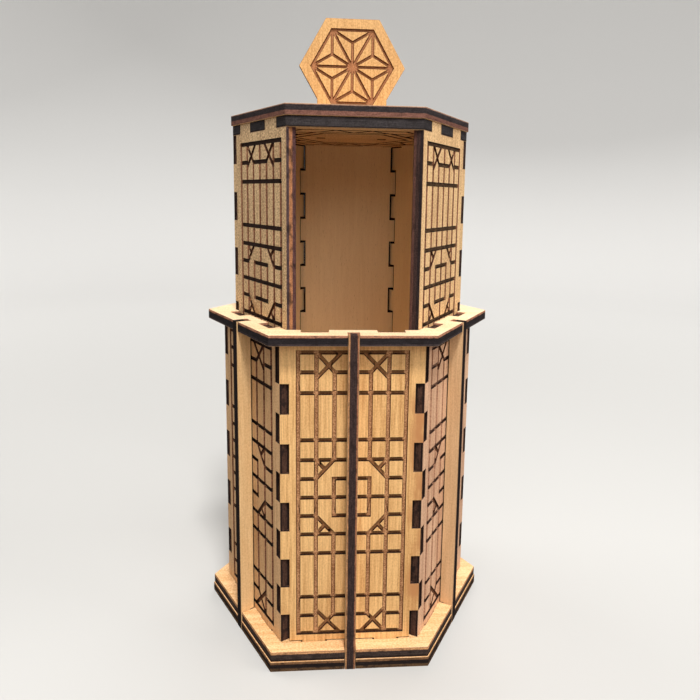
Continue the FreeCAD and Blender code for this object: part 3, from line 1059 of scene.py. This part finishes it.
    def corner_kind(self, line: bmesh.types.BMEdge) -> Kind | None:
        """Tell what a bevel along an edge is.

        Args:
            line: The edge.

        Returns:
            A seam or a rim on the corner between a face and the cut edge, and None elsewhere.
        """
        kinds = {face.material_index for face in line.link_faces}
        if kinds not in ({Kind.FACE, Kind.EDGE}, {Kind.BACK, Kind.EDGE}):
            return None
        ends = [self.to_front() @ vertex.co for vertex in line.verts]
        in_seam = {
            Seam.NONE: False,
            Seam.FOOT: Kind.FACE in kinds and max(end.z for end in ends) < FOOT_LEVEL + 2 * SLACK,
            Seam.INNER: Kind.BACK in kinds,
            Seam.ROOT: min(end.y for end in ends) > PANEL_PLACE - 2 * SLACK,
        }
        return Kind.SEAM if in_seam[self.seam] else Kind.RIM

    def soften_rim(self, piece: Object) -> None:
        """Bevel the corners between the faces and the cut edges, and more widely in the outer seams, whose
        bevel is coloured near black as char and painted shade.

        Args:
            piece: The piece.
        """
        seam_width = self.rim if self.seam == Seam.INNER else self.seam_width
        with editing(piece, "EDGE"):
            for kind, width in ((Kind.SEAM, seam_width), (Kind.RIM, self.rim)):
                bpy.ops.mesh.select_all(action="DESELECT")
                grid = bmesh.from_edit_mesh(piece.data)
                corners = [line for line in grid.edges if self.corner_kind(line) == kind]
                for line in corners:
                    line.select_set(True)
                bmesh.update_edit_mesh(piece.data)
                if corners:
                    bpy.ops.mesh.bevel(offset=width, segments=2, clamp_overlap=False, material=kind)

    def char_and_shade_corners(self, piece: Object) -> None:
        """Darken a strip of the inner face along the finger joints: char, and painted shade in the corners.

        Args:
            piece: The piece.
        """
        turn = self.to_front()
        mesh = piece.data
        backs = [polygon for polygon in mesh.polygons if polygon.material_index == Kind.BACK]
        corner = max(abs((turn @ mesh.vertices[index].co).x) for back in backs for index in back.vertices)

        def strip_kind(face: Face) -> Kind:
            """Return the seam's kind near the finger joints, and the inner face's elsewhere."""
            across = abs((turn @ face.calc_center_median()).x)
            return Kind.SEAM if across > corner - self.corner_reach else Kind.BACK

        inset_faces(piece, {Kind.BACK}, self.corner_width, strip_kind)

    def darken_groove_borders(self, piece: Object) -> None:
        """Darken a strip of the engraved lines' floors along their walls: char, and painted shade that the
        walls cast.
        """
        inset_faces(piece, WALL_OF, self.burn, lambda face: WALL_OF[face.material_index])

    def lay_grain(self, piece: Object) -> None:
        """Store the board's own coordinates: across the grain, depth and along the grain.

        Args:
            piece: The piece.
        """
        turn = self.to_front()
        across, _, along = self.own_axes()
        places: list[float] = []
        for vertex, depth in zip(piece.data.vertices, self.measure(piece)):
            point = turn @ vertex.co
            places += [
                point.dot(across) + ACROSS_STEP * self.number,
                depth,
                point.dot(along) + ALONG_STEP * self.number,
            ]
        layer = piece.data.attributes.new(PLACE, "FLOAT_VECTOR", "POINT")
        layer.data.foreach_set("vector", places)

    def dress(self, piece: Object, shop: FinishShop) -> None:
        """Give the board its materials, in the order of the kinds of surface.

        Args:
            piece: The piece.
            shop: The shop that makes the materials.
        """
        materials = [
            shop.veneer(self.veneer),
            shop.veneer(self.veneer, scorched=True),
            shop.edge(self.edge),
            shop.veneer(self.back or self.veneer),
        ]
        for finish in (self.engraving.upright, self.engraving.rail, self.engraving.slope):
            materials += [shop.line(finish), shop.line(finish, wall=True)]
        for material in (*materials, shop.edge(SEAM_CHAR_AND_SHADE)):
            piece.data.materials.append(material)

    def build(self, shop: FinishShop, body: str) -> Object:
        """Build the board and let it ride on a body.

        Args:
            shop: The shop that makes the materials.
            body: Name of the CAD body.

        Returns:
            The finished piece.
        """
        piece = self.copy_node()
        self.engrave(piece)
        self.dress(piece, shop)
        self.sort_faces(piece)
        if not self.engraving.plain:
            self.part_lines(piece)
        self.soften_rim(piece)
        if self.seam == Seam.INNER:
            self.char_and_shade_corners(piece)
        self.darken_groove_borders(piece)
        self.lay_grain(piece)
        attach(piece, body)
        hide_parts(self.node)
        log.info("%s: %d faces", piece.name, len(piece.data.polygons))
        return piece


@dataclass
class RearPanel(Board):
    """A panel of the tower that takes its lattice from a panel beside the opening.

    Args:
        pattern: The engraved board that the lattice is taken from.
        lift: How far the cutter reaches out of the panel, in metres.
    """

    pattern: Board | None = None
    lift: float = 1.5 * MM

    def take_cutter(self) -> Object:
        """Lift the floors of the pattern's engraved lines off into a cutter for this panel.

        Returns:
            The cutter, in the middle of this panel.
        """
        cutter = self.pattern.copy_node()
        self.pattern.sort_faces(cutter)
        outwards = self.pattern.to_front().inverted() @ -self.own_axes()[1]
        with editing(cutter, "FACE"):
            pick_faces(cutter, lambda face: face.material_index != Kind.SLOPE)
            bpy.ops.mesh.delete(type="FACE")
            bpy.ops.mesh.select_all(action="SELECT")
            bpy.ops.mesh.extrude_region_move(TRANSFORM_OT_translate={"value": outwards * self.lift})
            bpy.ops.mesh.select_all(action="SELECT")
            bpy.ops.mesh.normals_make_consistent(inside=False)
        cutter.data.transform(self.pattern.to_front())
        across = [vertex.co.x for vertex in cutter.data.vertices]
        cutter.data.transform(Matrix.Translation((-(min(across) + max(across)) / 2, 0.0, 0.0)))
        cutter.data.transform(self.to_front().inverted())
        return cutter

    def engrave(self, piece: Object) -> None:
        """Cut the lattice into the panel's outer face.

        Args:
            piece: The piece.
        """
        cutter = self.take_cutter()
        take_up(piece)
        cut = piece.modifiers.new("lattice", "BOOLEAN")
        cut.operation = "DIFFERENCE"
        cut.solver = "EXACT"
        cut.object = cutter
        bpy.ops.object.modifier_apply(modifier=cut.name)
        bpy.data.objects.remove(cutter)
        self.clean(piece)


# ---------------------------------------------------------------- sub-assemblies

@dataclass
class Assembly:
    """Boards that ride on one body.

    Args:
        shop: The shop that makes the materials.
        body: Name of the CAD body.
        first_number: Number of the first board.
    """

    shop: FinishShop
    body: str
    first_number: int

    def boards(self) -> list[Board]:
        """List the boards, in the order that they are built in."""
        raise NotImplementedError

    def build(self) -> list[Object]:
        """Number the boards and build them.

        Returns:
            The finished pieces.
        """
        pieces = []
        for number, board in enumerate(self.boards(), start=self.first_number):
            board.number = number
            pieces.append(board.build(self.shop, self.body))
        return pieces


@dataclass
class Case(Assembly):
    """The outer case: two plates at the foot, six panels, six fins and the ledge."""

    body: str = "case"
    first_number: int = 1

    def boards(self) -> list[Board]:
        """List the case's boards.

        Returns:
            The plates and the ledge, and then each side's panel and fin.
        """
        boards = [
            Board("foot_plate", Lay.LEVEL, "plate_ply", PLATE_VENEER, FOOT_EDGE),
            Board("base_plate", Lay.LEVEL, "plate_ply", PLATE_VENEER, BASE_EDGE),
            Board("ledge_ring", Lay.LEVEL, "plate_ply", LEDGE_VENEER, LEDGE_EDGE),
        ]
        for side, name in enumerate(SIDE_NAMES):
            veneer, engraving = PANEL_LOOKS.get(name, (PANEL_VENEER, SIDE_ENGRAVING))
            finishes = (veneer, PANEL_EDGE, engraving)
            panel = Board(f"case_{name}", Lay.PANEL, "panel_ply", *finishes, side=side, seam=Seam.FOOT)
            veneer = RIGHT_FIN_VENEER if name == "front_right" else FIN_VENEER
            edge = FIN_EDGE if name == "front" else DARK_FIN_EDGE
            fin = Board(f"fin_{name}", Lay.FIN, "fin_ply", veneer, edge, side=side, seam=Seam.ROOT)
            boards += [panel, fin]
        return boards


@dataclass
class Tower(Assembly):
    """The sliding tower: five panels, its floor, the doubled roof and the medallion."""

    body: str = "tower"
    first_number: int = 31

    def boards(self) -> list[Board]:
        """List the tower's boards.

        Returns:
            The plates and the medallion, the two panels beside the opening, and the rear panels.
        """
        boards = [
            Board("tower_floor", Lay.LEVEL, "plate_ply", PLATE_VENEER, PANEL_EDGE),
            Board("ceiling_plate", Lay.CEILING, "plate_ply", TOWER_VENEER, CEILING_EDGE, CEILING_ENGRAVING),
            Board("roof_cap", Lay.LEVEL, "plate_ply", PLATE_VENEER, CAP_EDGE),
            Board("medallion", Lay.PANEL, "medallion_ply", MEDAL_VENEER, PANEL_EDGE, MEDAL_ENGRAVING),
        ]
        inside: dict[str, object] = {"back": INNER_VENEER, "seam": Seam.INNER}
        for name, finishes in POST_LOOKS.items():
            side = SIDE_NAMES.index(name)
            boards.append(Board(f"tower_{name}", Lay.PANEL, "panel_ply", *finishes, side=side, **inside))
        inside["pattern"] = boards[-1]
        finishes = (TOWER_VENEER, PANEL_EDGE, SIDE_ENGRAVING)
        for side in REAR_SIDES:
            node = f"tower_{SIDE_NAMES[side]}"
            boards.append(RearPanel(node, Lay.PANEL, "panel_ply", *finishes, side=side, **inside))
        return boards


# ---------------------------------------------------------------- studio

@dataclass(frozen=True)
class Lamp:
    """A square soft lamp that points at the middle of the chest.

    Args:
        name: The lamp's name.
        azimuth: Where the lamp hangs, in degrees from the chest's front towards its right.
        elevation: Height of the lamp above the horizon, in degrees.
        distance: Distance from the middle of the chest, in metres.
        size: Side of the lamp, in metres.
        power: Power in watts.
    """

    name: str
    azimuth: float
    elevation: float
    distance: float
    size: float
    power: float

    def hang(self, target: Vector) -> None:
        """Add the lamp to the scene.

        Args:
            target: The point that the lamp faces.
        """
        azimuth, elevation = math.radians(self.azimuth), math.radians(self.elevation)
        away = Vector((
            math.sin(azimuth) * math.cos(elevation),
            -math.cos(azimuth) * math.cos(elevation),
            math.sin(elevation),
        ))
        bpy.ops.object.light_add(type="AREA", location=target + away * self.distance)
        lamp = bpy.context.active_object
        lamp.name = self.name
        lamp.data.shape = "SQUARE"
        lamp.data.size = self.size
        lamp.data.energy = self.power
        lamp.rotation_euler = away.to_track_quat("Z", "Y").to_euler()


LAMPS = (
    Lamp("key_lamp", 8.0, 60.0, 1.0, 0.17, 10.5),
    Lamp("front_lamp", -5.0, 36.0, 0.9, 0.7, 1.6),
    Lamp("low_lamp", 0.0, 22.0, 0.9, 0.3, 0.45),
    Lamp("front_right_lamp", 28.0, 34.0, 0.9, 0.5, 2.4),
    Lamp("right_lamp", 75.0, 35.0, 0.9, 0.4, 2.3),
    Lamp("rear_lamp", 160.0, 45.0, 0.9, 0.6, 3.5),
    Lamp("left_lamp", -120.0, 40.0, 0.9, 0.5, 3.0),
)
WORLD_COLOUR = (1.0, 0.98, 0.95, 1.0)
WORLD_LEVEL = 0.04
PAPER_NEAR = (190, 188, 184)
PAPER_FAR = (248, 246, 242)
PAPER_REFLECTOR = (120, 118, 116)
PAPER_ROUGHNESS = 0.9


@dataclass
class Studio:
    """A plain pale floor that curves up all round, soft lamps and the camera.

    Args:
        floor_radius: Radius of the flat floor.
        wall_radius: Radius at which the wall stands upright.
        wall_height: Height of the wall.
        corners: Number of the floor's corners.
        steps: Number of flat strips in the curve between floor and wall.
        pale_from: Distance from the middle at which the paper starts to turn paler.
        pale_at: Distance from the middle at which the paper is palest.
        middle: The point that the lamps face.
        eye: Place of the camera.
        yaw: Turn of the view to the right, in radians.
        pitch: Tilt of the view downwards, in radians.
        roll: Roll of the camera, in radians.
        sensor: Width of the camera's sensor in millimetres.
        lens: Focal length in millimetres.
        shift: Shift of the lens, as shares of the picture's width.
        nearest: Distance from which the camera sees, in metres.
    """

    floor_radius: float = 0.7
    wall_radius: float = 1.2
    wall_height: float = 1.5
    corners: int = 64
    steps: int = 8
    pale_from: float = 0.2
    pale_at: float = 1.1
    middle: tuple[float, float, float] = (0.0, 0.0, 0.1)
    eye: tuple[float, float, float] = (-0.00706, -0.20372, 0.13610)
    yaw: float = 0.0774
    pitch: float = 0.1519
    roll: float = 0.0180
    sensor: float = 36.0
    lens: float = 32.28
    shift: tuple[float, float] = (-0.0373, -0.0819)
    nearest: float = 0.01

    def build_floor(self) -> None:
        """Model the floor: a disc whose border is extruded outwards and up in a quarter round."""
        bpy.ops.mesh.primitive_circle_add(
            vertices=self.corners, radius=self.floor_radius, fill_type="NGON"
        )
        floor = bpy.context.active_object
        floor.name = "studio_floor"
        curve = self.wall_radius - self.floor_radius
        radius, height = self.floor_radius, 0.0
        with editing(floor, "EDGE"):
            bpy.ops.mesh.select_all(action="SELECT")
            bpy.ops.mesh.region_to_loop()
            for step in range(1, self.steps + 2):
                angle = min(step / self.steps, 1.0) * math.pi / 2
                next_radius = self.floor_radius + curve * math.sin(angle)
                next_height = curve * (1 - math.cos(angle)) if step <= self.steps else self.wall_height
                rise = (0.0, 0.0, next_height - height)
                bpy.ops.mesh.extrude_region_move(TRANSFORM_OT_translate={"value": rise})
                growth = next_radius / radius
                bpy.ops.transform.resize(
                    value=(growth, growth, 1.0), center_override=(0.0, 0.0, next_height)
                )
                radius, height = next_radius, next_height
        bpy.ops.object.shade_smooth()
        floor.data.materials.append(self.paper())

    def paper(self) -> Material:
        """Make the floor's paper: pale where it is seen, and darker where it only lights the chest.

        Returns:
            The material.
        """
        material, bench, shader = new_material("studio_paper", PAPER_ROUGHNESS)
        rays = bench.add("ShaderNodeLightPath").outputs
        seen = bench.math("MAXIMUM", rays["Is Camera Ray"], rays["Is Glossy Ray"])
        seen = bench.math("MAXIMUM", seen, rays["Is Transmission Ray"])
        place = bench.add("ShaderNodeTexCoord").outputs["Object"]
        distance = bench.add("ShaderNodeVectorMath", {0: place}, operation="LENGTH").outputs["Value"]
        away = bench.ramp(distance, self.pale_from, self.pale_at)
        pale = bench.mix(away, paint(PAPER_NEAR), paint(PAPER_FAR))
        bench.feed(shader, {"Base Color": bench.mix(seen, paint(PAPER_REFLECTOR), pale)})
        return material

    def light(self) -> None:
        """Hang the lamps and set the world."""
        for lamp in LAMPS:
            lamp.hang(Vector(self.middle))
        world = bpy.data.worlds.new("studio_world")
        world.use_nodes = True
        background = world.node_tree.nodes["Background"]
        background.inputs["Color"].default_value = WORLD_COLOUR
        background.inputs["Strength"].default_value = WORLD_LEVEL
        bpy.context.scene.world = world

    def aim_camera(self) -> None:
        """Set up the camera."""
        ahead = Vector((
            math.sin(self.yaw) * math.cos(self.pitch),
            math.cos(self.yaw) * math.cos(self.pitch),
            -math.sin(self.pitch),
        ))
        level_right = Vector((math.cos(self.yaw), -math.sin(self.yaw), 0.0))
        level_up = level_right.cross(ahead)
        right = level_right * math.cos(self.roll) + level_up * math.sin(self.roll)
        up = level_up * math.cos(self.roll) - level_right * math.sin(self.roll)
        turn = Matrix((right, up, -ahead)).transposed().to_4x4()
        bpy.ops.object.camera_add()
        camera = bpy.context.active_object
        camera.name = "camera"
        camera.matrix_world = Matrix.Translation(self.eye) @ turn
        camera.data.sensor_width = self.sensor
        camera.data.lens = self.lens
        camera.data.shift_x, camera.data.shift_y = self.shift
        camera.data.clip_start = self.nearest
        bpy.context.scene.camera = camera

    def build(self) -> None:
        """Build the floor, the lamps and the camera."""
        bpy.ops.object.select_all(action="DESELECT")
        self.build_floor()
        self.light()
        self.aim_camera()
        bpy.context.scene.view_settings.view_transform = "Standard"


def main() -> None:
    """Build the chest's boards, then the studio."""
    logging.basicConfig(level=logging.INFO, format="%(name)s %(message)s")
    shop = FinishShop()
    for assembly in (Case(shop), Tower(shop)):
        pieces = assembly.build()
        log.info("%s: %d boards", assembly.body, len(pieces))
    Studio().build()


if __name__ == "__main__":
    main()
